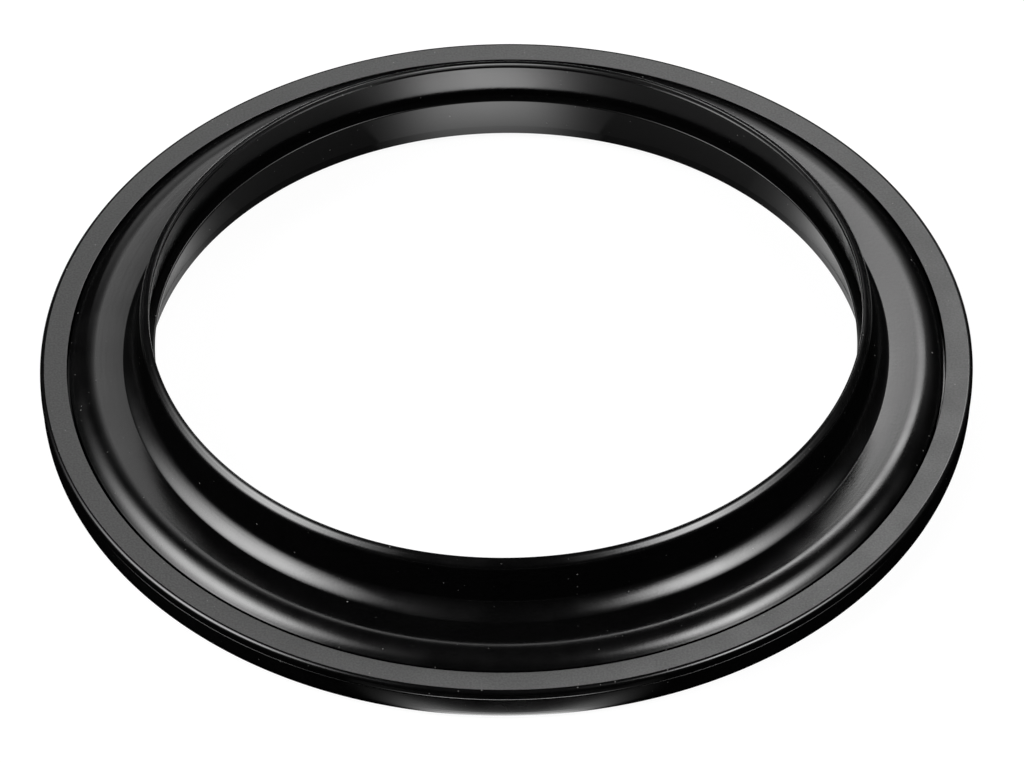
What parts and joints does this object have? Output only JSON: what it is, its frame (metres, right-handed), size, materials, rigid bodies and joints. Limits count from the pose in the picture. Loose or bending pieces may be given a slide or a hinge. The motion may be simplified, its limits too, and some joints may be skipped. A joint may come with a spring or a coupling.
{
  "type": "toilet flange",
  "caption": "Low ring flange with a flat hard rim, a sealing hump and an upright rubber lip round an open bore, for a 100 mm toilet outlet.",
  "frame": {"origin": "centre of the foot plane, where the flange stands on the floor", "axes": "+Z along the bore, up towards the toilet pan; X and Y are equal, because the part is round"},
  "size_m": [0.13, 0.13, 0.0157],
  "materials": {
    "base_ring": "black moulded plastic, semi-gloss",
    "clamp_ring": "black moulded plastic, fine matte grain on the flat rim",
    "lip_seal": "black moulded rubber, glossy from a polished mould",
    "bore_sleeve": "black moulded plastic, glossy"
  },
  "bodies": {
    "root": {"base_ring": "base_ring", "clamp_ring": "clamp_ring", "lip_seal": "lip_seal", "bore_sleeve": "bore_sleeve"}
  },
  "joints": []
}
